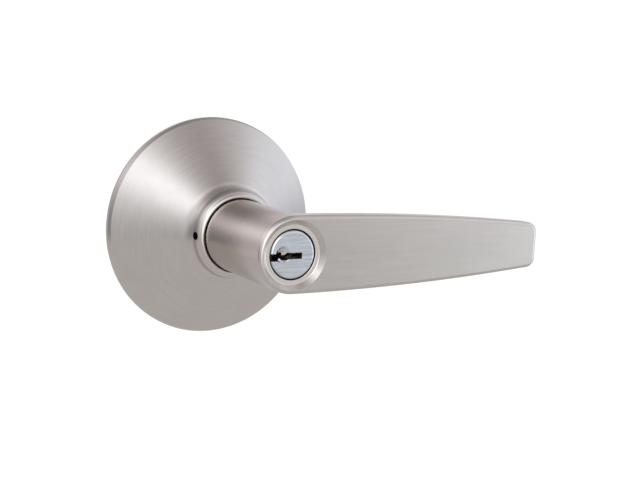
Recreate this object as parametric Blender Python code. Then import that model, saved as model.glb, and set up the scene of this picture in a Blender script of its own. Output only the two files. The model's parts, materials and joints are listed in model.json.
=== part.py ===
"""Outside half of a keyed lever lockset.

The spindle axis is the Y axis and the door's face is the plane Y = 0. The front of the lock looks
along -Y, the lever points along +X, and +Z is up. Sizes and places below are in millimetres; a place
is given as (x, out, z), where out is the distance in front of the door's face. point() turns such a
place into Blender's metres.
"""

import math

import bmesh
import bpy
from mathutils import Vector

MM = 0.001
GAP = 0.3
CUTTER_TWIST = 0.3

# Rose: spun cover with a collar round the lever's neck
ROSE_RADIUS = 43.65
ROSE_WALL = 1.3
RIM_HEIGHT = 2.0
CONE_FOOT = (42.9, 3.8)
CONE_TOP = (19.2, 20.4)
COLLAR_RADIUS = 17.2
COLLAR_BORE = 16.0
COLLAR_OUT = 28.5
COLLAR_OPENING = 14.65
COLLAR_ROUND = 2.55
COLLAR_FILLET = 7.0
COLLAR_FLOOR = 21.4
COLLAR_WALL = 1.2
PIN_HOLE_OUT = 25.7
PIN_HOLE_RADIUS = 1.6

# Lever: neck, hub and blade. The hub's front is countersunk down to a flat ring round the plug.
NECK_RADIUS = 14.2
NECK_FOOT = 16.0
HUB_OUT = 72.41
HUB_LIP = 1.5
HUB_OPENING = 9.28
RING_RADIUS = 10.9
SINK_RADIUS = 12.7
BLADE_FRONT = 74.2
BLADE_BACK = 67.0
BLADE_LENGTH = 108.9
BLADE_TAPER = 2130.0
BLADE_CORNER = 4.0
BLADE_EDGE = 1.4
BLADE_STATIONS = (2.5, 5.5, 9.0, 13.5, 19.0, 26.0, 35.0, 46.0, 58.0, 71.0, 84.0, 95.0)
QUARTER_TURN = (0, 30, 60, 90)
NECK_FILLET = 5.0
CYLINDER_BORE = 10.3
TUBE_BORE = 11.3
BORE_STEP = 45.0
CATCH_HOLE_RADIUS = 2.3
RIB_HALF = 1.5

# Spindle tube and what turns with it
TUBE_RADIUS = 11.0
TUBE_INSIDE = 9.2
TUBE_FRONT = 44.0
TUBE_REAR = -8.6
DRIVER_OUT = (12.7, 14.5)
EAR_RADII = (22.4, 23.9)
EAR_HALF = 2.5
EAR_FOOT = 3.7
BAR_HALF = 4.0
BAR_BORE = 2.9
BAR_END = -52.0

# Door side
PLATE_RADIUS = 38.5
PLATE_TOP = 2.0
SLEEVE_RADIUS = 12.8
SLEEVE_FLANGE = 15.2
SLEEVE_OUT = (-2.5, 12.2)
CAGE_RADIUS = 26.0
CAGE_WALL = 1.2
CAGE_FLANGE = 34.0
CAGE_TOP = 11.2
STOP_ANGLE = 57.5
POST_SPACING = 40.0
POST_RADIUS = 4.0
POST_END = -32.0
POST_HOLE = 1.8
CLIP_ANGLES = (90.0, 210.0, 330.0)
RIVET_RADIUS = 31.0

# Return spring
SPRING_RADIUS = 16.4
SPRING_WIRE = 0.9
SPRING_OUT = (4.7, 11.0)
SPRING_TURNS = 3
LEG_REACH = 25.0

# Lock cylinder
SHELL_RADIUS = 10.0
SHELL_OUT = (45.3, 69.2)
BIBLE_TOP = 11.3
BIBLE_HALF = 3.4
COVER_TOP = 12.3
PLUG_RADIUS = 6.5
PLUG_FACE_RADIUS = 8.85
PLUG_FACE = 72.6
FACE_BACK = 69.5
FACE_EDGE = 0.8
PLUG_THREAD = 5.5
PLUG_REAR = 42.0
CHAMBERS = 5
CHAMBER_FRONT = 66.0
CHAMBER_PITCH = 3.9
PIN_RADIUS = 1.3
CHAMBER_RADIUS = PIN_RADIUS + GAP
CHAMBER_FLOOR = 0.4
KEY_PIN_LENGTHS = (3.3, 4.4, 3.8, 5.0, 3.6)
DRIVER_PIN_LENGTH = 2.4
KEYWAY_ROOT = 3.7
DIMPLE_X = -3.9
DIMPLE_RADIUS = 3.0
DIMPLE_DEPTH = 1.4

# Lever catch
CATCH_OUT = PIN_HOLE_OUT
CATCH_TIP = -12.6
CATCH_HEAD = (-8.3, -7.1)
CATCH_RADIUS = 1.8


def point(x, out, z):
    """A place in metres from millimetres and its distance in front of the door."""
    return Vector((x, -out, z)) * MM


def clear_scene():
    for old in list(bpy.data.objects):
        bpy.data.objects.remove(old, do_unlink=True)


def metal(name, color, roughness, metallic=1.0):
    """A plain material; repeated calls with one name share it."""
    known = bpy.data.materials.get(name)
    if known:
        return known
    made = bpy.data.materials.new(name)
    made.use_nodes = True
    shader = made.node_tree.nodes["Principled BSDF"]
    shader.inputs["Base Color"].default_value = (*color, 1.0)
    shader.inputs["Roughness"].default_value = roughness
    shader.inputs["Metallic"].default_value = metallic
    return made


def satin_nickel(name):
    return metal(name, (0.56, 0.53, 0.50), 0.34)


def brass(name):
    return metal(name, (0.72, 0.53, 0.26), 0.35)


def zinc_steel(name):
    return metal(name, (0.58, 0.58, 0.57), 0.4)


def spring_steel(name):
    return metal(name, (0.36, 0.36, 0.37), 0.35)


def pivot(name, place, parent=None):
    """An empty on a joint's axis."""
    empty = bpy.data.objects.new(name, None)
    bpy.context.collection.objects.link(empty)
    empty.location = place - (parent.matrix_world.translation if parent else Vector())
    empty.parent = parent
    bpy.context.view_layer.update()
    return empty


def solid(name, shape, finish=None, body=None, origin=None):
    """Turn a bmesh into an object whose origin is at the given place."""
    origin = origin or Vector((0.0, 0.0, 0.0))
    bmesh.ops.translate(shape, verts=shape.verts, vec=-origin)
    bmesh.ops.recalc_face_normals(shape, faces=shape.faces)
    mesh = bpy.data.meshes.new(name)
    shape.to_mesh(mesh)
    shape.free()
    mesh.shade_smooth()
    mesh.set_sharp_from_angle(angle=math.radians(32))
    made = bpy.data.objects.new(name, mesh)
    bpy.context.collection.objects.link(made)
    made.parent = body
    made.location = origin - (body.matrix_world.translation if body else Vector())
    if finish:
        mesh.materials.append(finish)
    return made


def combine(target, shape, operation):
    """Join a shape to an object, or cut it away, with an exact Boolean."""
    tool = solid(f"{target.name}_{operation.lower()}_{len(target.modifiers)}", shape)
    tool.hide_render = True
    tool.display_type = "WIRE"
    step = target.modifiers.new(operation.title(), "BOOLEAN")
    step.operation = operation
    step.solver = "EXACT"
    step.object = tool


def turned(profile, sides, center=(0.0, 0.0), twist=0.0):
    """A body turned about a line along Y, from a closed outline of (radius, out).

    A cutter takes a twist, a part of one side, so that its corners miss the corners that it cuts.
    """
    shape = bmesh.new()
    rings = []
    for radius, out in profile:
        if radius == 0:
            rings.append([shape.verts.new(point(center[0], out, center[1]))])
            continue
        turn = [2 * math.pi * (i + twist) / sides for i in range(sides)]
        rings.append([
            shape.verts.new(point(
                center[0] + radius * math.cos(a), out, center[1] + radius * math.sin(a)))
            for a in turn
        ])
    for here, there in zip(rings, rings[1:] + rings[:1]):
        if len(here) == len(there) == 1:
            continue
        for i in range(sides):
            j = (i + 1) % sides
            corners = [here[i % len(here)], here[j % len(here)],
                       there[j % len(there)], there[i % len(there)]]
            shape.faces.new(list(dict.fromkeys(corners)))
    return shape


def ring(inside, outside, low, high, sides, center=(0.0, 0.0)):
    outline = [(inside, low), (outside, low), (outside, high), (inside, high)]
    return turned(outline, sides, center)


def disc(radius, low, high, sides, center=(0.0, 0.0)):
    outline = [(0, low), (radius, low), (radius, high), (0, high)]
    return turned(outline, sides, center)


def drill(radius, low, high, sides, center=(0.0, 0.0)):
    """Cutter for a round hole along Y."""
    outline = [(0, low), (radius, low), (radius, high), (0, high)]
    return turned(outline, sides, center, CUTTER_TWIST)


def prism(outline, low, high):
    """A straight body along Y from a closed outline of (x, z)."""
    shape = bmesh.new()
    ends = [[shape.verts.new(point(x, out, z)) for x, z in outline] for out in (low, high)]
    shape.faces.new(ends[0])
    shape.faces.new(ends[1])
    for i in range(len(outline)):
        j = (i + 1) % len(outline)
        shape.faces.new([ends[0][i], ends[0][j], ends[1][j], ends[1][i]])
    return shape


def block(x, out, z):
    """A box from three (low, high) pairs."""
    outline = [(x[0], z[0]), (x[1], z[0]), (x[1], z[1]), (x[0], z[1])]
    return prism(outline, out[0], out[1])


def turned_about_x(profile, out, sides, z=0.0):
    """A body turned about a line along X, from a closed outline of (radius, x)."""
    shape = turned([(radius, 0.0) for radius, _ in profile], sides)
    vertices = iter(list(shape.verts))
    for radius, x in profile:
        for i in range(1 if radius == 0 else sides):
            angle = 2 * math.pi * i / sides
            vertex = next(vertices)
            vertex.co = point(x, out + radius * math.cos(angle), z + radius * math.sin(angle))
    return shape


def rod_x(radius, low, high, out, sides):
    return turned_about_x([(0, low), (radius, low), (radius, high), (0, high)], out, sides)


def arc(center, radius, start, end, steps):
    """Points on an arc, from one angle in degrees to another."""
    angles = [math.radians(start + (end - start) * i / steps) for i in range(steps + 1)]
    return [(center[0] + radius * math.cos(a), center[1] + radius * math.sin(a)) for a in angles]


def wire(name, places, radius, finish, body, resolution=0):
    """A round wire along a list of places, with closed ends."""
    curve = bpy.data.curves.new(name, "CURVE")
    curve.dimensions = "3D"
    curve.bevel_depth = radius * MM
    curve.bevel_resolution = resolution
    curve.use_fill_caps = True
    spline = curve.splines.new("POLY")
    spline.points.add(len(places) - 1)
    for spot, place in zip(spline.points, places):
        spot.co = (*place, 1.0)
    curve.materials.append(finish)
    made = bpy.data.objects.new(name, curve)
    bpy.context.collection.objects.link(made)
    made.parent = body
    made.location = -(body.matrix_world.translation if body else Vector())
    return made


def rose():
    """Cover turned from one outline: rim, cone, a hollow sweep up to the collar, rounded collar."""
    slope = (CONE_TOP[1] - CONE_FOOT[1]) / (CONE_FOOT[0] - CONE_TOP[0])
    lean = math.degrees(math.atan(slope))
    drop = ROSE_WALL * math.hypot(1.0, slope)

    def cone_out(radius):
        return CONE_FOOT[1] + (CONE_FOOT[0] - radius) * slope

    inner_rim = ROSE_RADIUS - ROSE_WALL
    sweep_x = COLLAR_RADIUS + COLLAR_FILLET
    sweep = (sweep_x, cone_out(sweep_x) + COLLAR_FILLET * math.hypot(1.0, slope))
    rounding = (COLLAR_RADIUS - COLLAR_ROUND, COLLAR_OUT - COLLAR_ROUND)
    shelf = COLLAR_OUT - COLLAR_WALL
    throat = COLLAR_BORE + 2.4
    outline = [(inner_rim, 0.0), (ROSE_RADIUS, 0.0), (ROSE_RADIUS, RIM_HEIGHT), CONE_FOOT]
    outline += arc(sweep, COLLAR_FILLET, 270 - lean, 180, 3)
    outline += arc(rounding, COLLAR_ROUND, 0, 90, 3)
    outline += [(COLLAR_OPENING, shelf), (COLLAR_BORE, shelf), (COLLAR_BORE, COLLAR_FLOOR)]
    outline += [(throat, cone_out(throat) - drop), (inner_rim, cone_out(inner_rim) - drop)]
    made = solid("rose", turned(outline, 48), satin_nickel("rose_nickel"))
    combine(made, rod_x(PIN_HOLE_RADIUS, -20.0, -13.0, PIN_HOLE_OUT, 12), "DIFFERENCE")


def blade_half_width(x):
    """Half the blade's height: a long flat arc from the side of the hub to the tip."""
    return NECK_RADIUS - x * x / BLADE_TAPER


def lever_outline():
    """Edge of the lever seen from the front, with the way out of it at each point.

    It goes round the hub from the left, over the top edge to the tip, and back below.
    """
    hub = arc((0.0, 0.0), NECK_RADIUS, 180, 90, 10)
    corner_x = BLADE_LENGTH - BLADE_CORNER
    edge = [(x, blade_half_width(x)) for x in BLADE_STATIONS]
    corner = arc((corner_x, blade_half_width(corner_x) - BLADE_CORNER), BLADE_CORNER, 90, 0, 4)
    upper = hub + edge + corner
    outline = upper + [(x, -z) for x, z in reversed(upper[1:])]
    ways = []
    for i, (x, z) in enumerate(outline):
        before, after = outline[i - 1], outline[(i + 1) % len(outline)]
        along = Vector((after[0] - before[0], after[1] - before[1])).normalized()
        ways.append(Vector((-along.y, along.x)))
    return [Vector(spot) for spot in outline], ways


def lever_body():
    """Closed skin of the neck, the hub and the blade, one ring of points after another."""
    outline, ways = lever_outline()
    quarter = [math.radians(a) for a in QUARTER_TURN]
    rings = []

    def around(radius, out):
        rings.append([(spot.normalized() * radius, out) for spot in outline])

    around(HUB_OPENING - 1.0, HUB_OUT)
    around(RING_RADIUS, HUB_OUT)
    around(SINK_RADIUS, BLADE_FRONT)
    for a in quarter:
        inset, out = BLADE_EDGE * (1 - math.sin(a)), BLADE_FRONT - BLADE_EDGE * (1 - math.cos(a))
        rings.append([(spot - way * inset, out) for spot, way in zip(outline, ways)])
    spread = [max(0.0, spot.length - NECK_RADIUS) for spot in outline]
    for a in quarter:
        inset, out = BLADE_EDGE * (1 - math.cos(a)), BLADE_BACK + BLADE_EDGE * (1 - math.sin(a))
        rings.append([(spot - way * min(inset, room / 3), out)
                      for spot, way, room in zip(outline, ways, spread)])
    for a in quarter[1:]:
        out = BLADE_BACK - NECK_FILLET * (1 - math.cos(a))
        flare = [min(NECK_FILLET, room / 2) * (1 - math.sin(a)) for room in spread]
        rings.append([(spot.normalized() * (NECK_RADIUS + wider), out)
                      for spot, wider in zip(outline, flare)])
    around(NECK_RADIUS, NECK_FOOT)

    shape = bmesh.new()
    loops = [[shape.verts.new(point(spot.x, out, spot.y)) for spot, out in row] for row in rings]
    shape.faces.new(loops[0])
    shape.faces.new(loops[-1])
    for here, there in zip(loops, loops[1:]):
        for i in range(len(outline)):
            j = (i + 1) % len(outline)
            shape.faces.new([here[i], here[j], there[j], there[i]])
    return shape


def lever(body):
    made = solid("lever", lever_body(), satin_nickel("lever_nickel"), body)
    bore = [
        (0, NECK_FOOT - 2), (TUBE_BORE, NECK_FOOT - 2), (TUBE_BORE, BORE_STEP),
        (CYLINDER_BORE, BORE_STEP), (CYLINDER_BORE, HUB_OUT - HUB_LIP),
        (HUB_OPENING, HUB_OUT - HUB_LIP), (HUB_OPENING, HUB_OUT + 2), (0, HUB_OUT + 2),
    ]
    combine(made, turned(bore, 40, twist=CUTTER_TWIST), "DIFFERENCE")
    slot_half = BIBLE_HALF + GAP
    slot = block((5.0, COVER_TOP + GAP), (NECK_FOOT - 2, SHELL_OUT[1] + 0.1), (-slot_half, slot_half))
    combine(made, slot, "DIFFERENCE")
    hole = rod_x(CATCH_HOLE_RADIUS, -NECK_RADIUS - 2, -TUBE_BORE + 2, CATCH_OUT, 16)
    combine(made, hole, "DIFFERENCE")
    for side in (-1, 1):
        rib = sorted((side * (TUBE_RADIUS - 1.3), side * (TUBE_BORE + 1.0)))
        combine(made, block((-RIB_HALF, RIB_HALF), (36.0, TUBE_FRONT), rib), "UNION")


def spindle_tube(body):
    groove = (-5.5, -4.1)
    outline = [
        (TUBE_INSIDE, TUBE_REAR), (TUBE_RADIUS, TUBE_REAR), (TUBE_RADIUS, groove[0]),
        (TUBE_RADIUS - 0.8, groove[0]), (TUBE_RADIUS - 0.8, groove[1]), (TUBE_RADIUS, groove[1]),
        (TUBE_RADIUS, TUBE_FRONT), (TUBE_INSIDE, TUBE_FRONT),
    ]
    made = solid("spindle_tube", turned(outline, 32), zinc_steel("tube_zinc"), body)
    half = RIB_HALF + GAP
    for side in (-1, 1):
        far = sorted((side * 7.0, side * 13.0))
        combine(made, block((-half, half), (35.7, 46.0), far), "DIFFERENCE")
        combine(made, block((-half, half), (DRIVER_OUT[0] - GAP, DRIVER_OUT[1] + GAP), far), "DIFFERENCE")
        combine(made, block(far, (TUBE_REAR - 1.0, -6.0), (-half, half)), "DIFFERENCE")
    combine(made, rod_x(CATCH_RADIUS + GAP, -13.0, -7.0, CATCH_OUT, 12), "DIFFERENCE")


def driver_plate(body):
    """Disc keyed into the tube, with one ear for the spring and one for the stops."""
    made = solid("driver_plate", ring(TUBE_BORE, 19.0, *DRIVER_OUT, 32), zinc_steel("driver_zinc"), body)
    for side in (-1, 1):
        key = sorted((side * 9.8, side * 12.0))
        combine(made, block((-RIB_HALF, RIB_HALF), DRIVER_OUT, key), "UNION")
        arm = sorted((side * 17.0, side * EAR_RADII[1]))
        combine(made, block(arm, DRIVER_OUT, (-EAR_HALF, EAR_HALF)), "UNION")
        ear = sorted((side * EAR_RADII[0], side * EAR_RADII[1]))
        combine(made, block(ear, (EAR_FOOT, DRIVER_OUT[1]), (-EAR_HALF, EAR_HALF)), "UNION")


def retaining_ring(body):
    """Open ring in the tube's groove, with its gap at the bottom."""
    outline = [(x, z) for x, z in arc((0, 0), 13.6, -70, 250, 16)]
    outline += [(x, z) for x, z in arc((0, 0), TUBE_RADIUS - 0.5, 250, -70, 16)]
    solid("retaining_ring", prism(outline, -5.3, -4.3), spring_steel("ring_steel"), body)


def thrust_washer():
    solid("thrust_washer", ring(TUBE_BORE, SLEEVE_FLANGE, -3.9, -2.8, 32), brass("washer_bronze"))


def drive_spindle(body):
    """Round foot locked in the tube, and the square bar that turns the latch."""
    made = solid("drive_spindle", disc(TUBE_INSIDE - GAP, -8.4, -1.0, 32), zinc_steel("bar_zinc"), body)
    bar = block((-BAR_HALF, BAR_HALF), (BAR_END, -7.0), (-BAR_HALF, BAR_HALF))
    combine(made, bar, "UNION")
    for side in (-1, 1):
        lug = sorted((side * 7.0, side * (TUBE_RADIUS - 0.2)))
        combine(made, block(lug, (-8.4, -6.3), (-RIB_HALF, RIB_HALF)), "UNION")
    combine(made, drill(BAR_BORE, BAR_END - 2, 1.0, 20), "DIFFERENCE")


def mounting_plate():
    """Steel plate with the fixed tab that the return spring's legs rest on."""
    made = solid("mounting_plate", ring(SLEEVE_RADIUS + GAP, PLATE_RADIUS, 0.0, PLATE_TOP, 48),
                 zinc_steel("plate_zinc"))
    tab = block((-21.7, -20.2), (1.0, 11.9), (-EAR_HALF, EAR_HALF))
    combine(made, tab, "UNION")
    for side in (-1, 1):
        hole = drill(3.3, -2.0, 4.0, 16, (0.0, side * POST_SPACING / 2))
        combine(made, hole, "DIFFERENCE")
    for angle in map(math.radians, CLIP_ANGLES):
        spot = (RIVET_RADIUS * math.cos(angle), RIVET_RADIUS * math.sin(angle))
        combine(made, drill(1.8, -2.0, 4.0, 12, spot), "DIFFERENCE")


def bearing_sleeve():
    low, high = SLEEVE_OUT
    outline = [
        (TUBE_BORE, low), (SLEEVE_FLANGE, low), (SLEEVE_FLANGE, -GAP), (SLEEVE_RADIUS, -GAP),
        (SLEEVE_RADIUS, high), (TUBE_BORE, high),
    ]
    solid("bearing_sleeve", turned(outline, 32), brass("sleeve_bronze"))


def spring_cage():
    """Ring wall with two lugs that stop the driver's ear a little past 45 degrees each way."""
    base = PLATE_TOP + GAP
    wall = CAGE_RADIUS + CAGE_WALL
    outline = [
        (CAGE_RADIUS, base), (CAGE_FLANGE, base), (CAGE_FLANGE, base + 0.8), (wall, base + 0.8),
        (wall, CAGE_TOP), (CAGE_RADIUS, CAGE_TOP),
    ]
    made = solid("spring_cage", turned(outline, 48), zinc_steel("cage_zinc"))
    for side in (-1, 1):
        angle = side * math.radians(STOP_ANGLE)
        along = Vector((math.cos(angle), math.sin(angle)))
        across = Vector((-along.y, along.x)) * 2.2
        near, far = along * 22.0, along * (CAGE_RADIUS + CAGE_WALL / 2)
        corners = [near + across, near - across, far - across, far + across]
        combine(made, prism([tuple(c) for c in corners], base, CAGE_TOP - 0.4), "UNION")
    for angle in map(math.radians, CLIP_ANGLES):
        spot = (RIVET_RADIUS * math.cos(angle), RIVET_RADIUS * math.sin(angle))
        combine(made, drill(1.8, 1.0, 5.0, 12, spot), "DIFFERENCE")


def post(name, side):
    """Threaded post: head on the plate's front, shoulder behind it, blind hole from the rear."""
    outline = [
        (0, PLATE_TOP + 1.0), (4.9, PLATE_TOP + 1.0), (4.9, PLATE_TOP + GAP), (3.0, PLATE_TOP + GAP),
        (3.0, -GAP), (POST_RADIUS, -GAP), (POST_RADIUS, POST_END), (POST_HOLE, POST_END),
        (POST_HOLE, -4.0), (0, -4.8),
    ]
    shape = turned(outline, 20, (0.0, side * POST_SPACING / 2))
    solid(name, shape, zinc_steel("post_zinc"))


def rose_clips():
    """Three bent clips on the cage's flange, each with its rivet."""
    base = PLATE_TOP + 2 * GAP + 0.8
    for number, degrees in enumerate(CLIP_ANGLES, 1):
        angle = math.radians(degrees)
        along = Vector((math.cos(angle), 0.0, math.sin(angle)))
        side = Vector((-along.z, 0.0, along.x))
        outline = [(27.9, base), (36.2, base), (36.2, 5.6), (35.4, 5.6), (35.4, base + 0.8),
                   (27.9, base + 0.8)]
        shape = bmesh.new()
        ends = []
        for offset in (-5.0, 5.0):
            places = [(along * radius + side * offset, out) for radius, out in outline]
            ends.append([shape.verts.new(point(p.x, out, p.z)) for p, out in places])
        shape.faces.new(ends[0])
        shape.faces.new(ends[1])
        for i in range(len(outline)):
            j = (i + 1) % len(outline)
            shape.faces.new([ends[0][i], ends[0][j], ends[1][j], ends[1][i]])
        clip = solid(f"rose_clip_{number}", shape, spring_steel("clip_steel"))
        spot = (RIVET_RADIUS * along.x, RIVET_RADIUS * along.z)
        combine(clip, drill(1.8, 1.0, 8.0, 12, spot), "DIFFERENCE")
        top = base + 0.8 + GAP
        outline = [(0, 0.3), (1.5, 0.3), (1.5, top), (2.4, top), (1.9, top + 0.9), (0, top + 1.1)]
        solid(f"clip_rivet_{number}", turned(outline, 12, spot), zinc_steel("rivet_zinc"))


def collar_bushing():
    made = solid("collar_bushing", ring(NECK_RADIUS + GAP + 0.1, COLLAR_BORE - GAP, 22.0, 27.0, 40),
                 metal("bushing_nylon", (0.02, 0.02, 0.02), 0.5, 0.0))
    combine(made, rod_x(PIN_HOLE_RADIUS + 0.2, -20.0, -13.0, PIN_HOLE_OUT, 12), "DIFFERENCE")


def return_spring(body):
    """Coil round the sleeve, whose two legs straddle the plate's tab and the driver's ear."""
    low, high = SPRING_OUT
    leg_z = EAR_HALF + GAP + SPRING_WIRE + 0.15
    start = math.atan2(-leg_z, -SPRING_RADIUS) % (2 * math.pi)
    end = math.atan2(leg_z, -SPRING_RADIUS) + 2 * math.pi * SPRING_TURNS
    steps = 16 * SPRING_TURNS
    places = [point(-LEG_REACH, low, -leg_z)]
    for i in range(steps + 1):
        share = i / steps
        angle = start + (end - start) * share
        places.append(point(SPRING_RADIUS * math.cos(angle), low + (high - low) * share,
                            SPRING_RADIUS * math.sin(angle)))
    places.append(point(-LEG_REACH, high, leg_z))
    wire("return_spring", places, SPRING_WIRE, spring_steel("spring_steel"), body, resolution=1)


def chamber_outs():
    return [CHAMBER_FRONT - CHAMBER_PITCH * i for i in range(CHAMBERS)]


def cylinder_shell(body):
    """Round shell and the bible above it, in one outline, bored for the plug and the pins."""
    low, high = SHELL_OUT
    meet = math.degrees(math.asin(BIBLE_HALF / SHELL_RADIUS))
    outline = arc((0, 0), SHELL_RADIUS, meet, 360 - meet, 36)
    outline += [(BIBLE_TOP, -BIBLE_HALF), (BIBLE_TOP, BIBLE_HALF)]
    made = solid("cylinder_shell", prism(outline, low, high), brass("shell_brass"), body)
    combine(made, drill(PLUG_RADIUS + GAP, low - 2, high + 2, 32), "DIFFERENCE")
    for out in chamber_outs():
        combine(made, rod_x(CHAMBER_RADIUS, 2.0, BIBLE_TOP + 2, out, 12), "DIFFERENCE")


def spring_cover(body):
    low, high = SHELL_OUT
    strip = block((BIBLE_TOP + GAP, COVER_TOP), (low + 0.5, high - 0.8), (-BIBLE_HALF, BIBLE_HALF))
    solid("spring_cover", strip, brass("cover_brass"), body)


def cylinder_washer(body):
    outline = ring(9.4, TUBE_RADIUS, TUBE_FRONT + GAP, SHELL_OUT[0] - GAP, 32)
    solid("cylinder_washer", outline, metal("washer_nylon", (0.75, 0.74, 0.7), 0.5, 0.0), body)


def keyway():
    """Outline of the keyway in (x, z), open at the plug's -X side, with its wards."""
    lower = [(-9.5, -2.2), (-6.0, -2.2), (-5.4, -1.3), (-4.7, -1.3), (-4.3, -2.0), (-2.3, -2.0),
             (-1.4, -1.55), (KEYWAY_ROOT, -1.55)]
    upper = [(KEYWAY_ROOT, 0.75), (-1.9, 0.75), (-2.6, 0.1), (-3.6, -0.1), (-4.2, 0.9), (-5.6, 0.9),
             (-6.4, 0.5), (-9.5, 0.5)]
    return lower + upper


def plug(body):
    outline = [
        (0, PLUG_REAR), (PLUG_THREAD, PLUG_REAR), (PLUG_THREAD, SHELL_OUT[0] - GAP),
        (PLUG_RADIUS, SHELL_OUT[0] - GAP), (PLUG_RADIUS, FACE_BACK), (PLUG_FACE_RADIUS, FACE_BACK),
    ]
    outline += arc((PLUG_FACE_RADIUS - FACE_EDGE, PLUG_FACE - FACE_EDGE), FACE_EDGE, 0, 90, 2)
    outline += [(0, PLUG_FACE)]
    made = solid("plug", turned(outline, 32), metal("plug_nickel", (0.60, 0.64, 0.70), 0.3), body)
    combine(made, prism(keyway(), 47.0, PLUG_FACE + 2), "DIFFERENCE")
    ball = (DIMPLE_RADIUS ** 2 + DIMPLE_DEPTH ** 2) / (2 * DIMPLE_DEPTH)
    bowl = arc((0, PLUG_FACE - DIMPLE_DEPTH + ball), ball, -90, 0, 6)
    bowl[0] = (0, PLUG_FACE - DIMPLE_DEPTH)
    dimple = bowl + [(0, bowl[-1][1])]
    combine(made, turned(dimple, 20, (DIMPLE_X, 0.0), CUTTER_TWIST), "DIFFERENCE")
    for out in chamber_outs():
        combine(made, rod_x(CHAMBER_RADIUS, CHAMBER_FLOOR, PLUG_RADIUS + 2, out, 12), "DIFFERENCE")


def plug_cap(body):
    """Threaded cap that holds the tailpiece's head against the plug's rear."""
    low, high = 38.9, SHELL_OUT[0] - 2 * GAP
    outline = [
        (3.0, low), (8.4, low), (8.4, high), (PLUG_THREAD + GAP, high), (PLUG_THREAD + GAP, low + 1.2),
        (3.0, low + 1.2),
    ]
    solid("plug_cap", turned(outline, 24), brass("cap_brass"), body)


def tailpiece(body):
    head = disc(PLUG_THREAD, PLUG_REAR - 1.5, PLUG_REAR - GAP, 24)
    made = solid("tailpiece", head, zinc_steel("tail_zinc"), body)
    combine(made, block((-0.8, 0.8), (-60.0, PLUG_REAR - 1.0), (-2.3, 2.3)), "UNION")


def pin_stacks(lever_body, plug_body):
    """Key pins in the plug and driver pins and springs in the shell, meeting at the shear line."""
    for number, (out, length) in enumerate(zip(chamber_outs(), KEY_PIN_LENGTHS), 1):
        key_top = PLUG_RADIUS - 0.1
        key_foot = key_top - length
        station = point(0.0, out, 0.0)
        key_home = pivot(f"key_pin_{number}_axis", station, plug_body)
        outline = [(0, key_foot), (0.5, key_foot), (PIN_RADIUS, key_foot + 0.8), (PIN_RADIUS, key_top),
                   (0, key_top)]
        shape = turned_about_x(outline, out, 10)
        solid(f"key_pin_{number}", shape, brass("key_pin_brass"), key_home, station)
        driver_home = pivot(f"driver_pin_{number}_axis", station, lever_body)
        foot = key_top + GAP
        top = foot + DRIVER_PIN_LENGTH
        outline = [(0, foot), (PIN_RADIUS, foot), (PIN_RADIUS, top), (0, top)]
        solid(f"driver_pin_{number}", turned_about_x(outline, out, 10), zinc_steel("driver_pin_steel"),
              driver_home, station)
        pin_spring(number, out, top + GAP, lever_body)


def pin_spring(number, out, foot, body):
    """Small coil between a driver pin and the cover."""
    turns, per_turn, thickness = 3, 7, 0.15
    reach = PIN_RADIUS - thickness - 0.1
    low, high = foot + thickness, BIBLE_TOP - thickness
    steps = turns * per_turn
    places = []
    for i in range(steps + 1):
        angle = 2 * math.pi * i / per_turn
        x = low + (high - low) * i / steps
        places.append(point(x, out + reach * math.cos(angle), reach * math.sin(angle)))
    wire(f"pin_spring_{number}", places, thickness, spring_steel("pin_spring_steel"), body)


def catch(lever_body):
    """Plunger that holds the lever on the tube, pressed in through the rose's pin hole."""
    station = point(0.0, CATCH_OUT, 0.0)
    home = pivot("catch_axis", station, lever_body)
    back, front = CATCH_HEAD[1], CATCH_HEAD[0]
    outline = [
        (0, back), (3.2, back), (3.2, front), (CATCH_RADIUS, front), (CATCH_RADIUS, CATCH_TIP + 0.5),
        (CATCH_RADIUS - 0.5, CATCH_TIP), (0, CATCH_TIP),
    ]
    shape = turned_about_x(outline, CATCH_OUT, 16)
    solid("catch_plunger", shape, spring_steel("catch_steel"), home, station)
    reach = 8.5
    middle = [(x, z) for x, z in arc((0, 0), reach, 25, 125, 6)] + [(back + 0.7, 4.4)]
    middle += [(x, -z) for x, z in reversed(middle)]
    inner = [(x * 0.94, z * 0.94) for x, z in middle]
    strip = prism(middle + inner[::-1], CATCH_OUT - 2.5, CATCH_OUT + 2.5)
    solid("catch_spring", strip, spring_steel("catch_spring_steel"), lever_body)


clear_scene()
lever_axis = pivot("lever_axis", point(0.0, 0.0, 0.0))
plug_axis = pivot("plug_axis", point(0.0, 0.0, 0.0), lever_axis)

rose()
mounting_plate()
bearing_sleeve()
spring_cage()
post("post_top", 1)
post("post_bottom", -1)
rose_clips()
collar_bushing()
thrust_washer()

lever(lever_axis)
spindle_tube(lever_axis)
driver_plate(lever_axis)
retaining_ring(lever_axis)
drive_spindle(lever_axis)
return_spring(None)
cylinder_shell(lever_axis)
spring_cover(lever_axis)
cylinder_washer(lever_axis)

plug(plug_axis)
plug_cap(plug_axis)
tailpiece(plug_axis)
pin_stacks(lever_axis, plug_axis)
catch(lever_axis)
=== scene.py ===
"""Visual model of a keyed lever lockset: the outside half with its rose, lever, plug and inner works.

Lengths are in millimetres until a mesh is made. A place is (x, out, z), where out is the distance in
front of the door's face, which is the plane Y = 0; the spindle axis is the Y axis.
"""
import json
import math

import bmesh
import bpy
import numpy as np
from mathutils import Matrix, Vector


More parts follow.
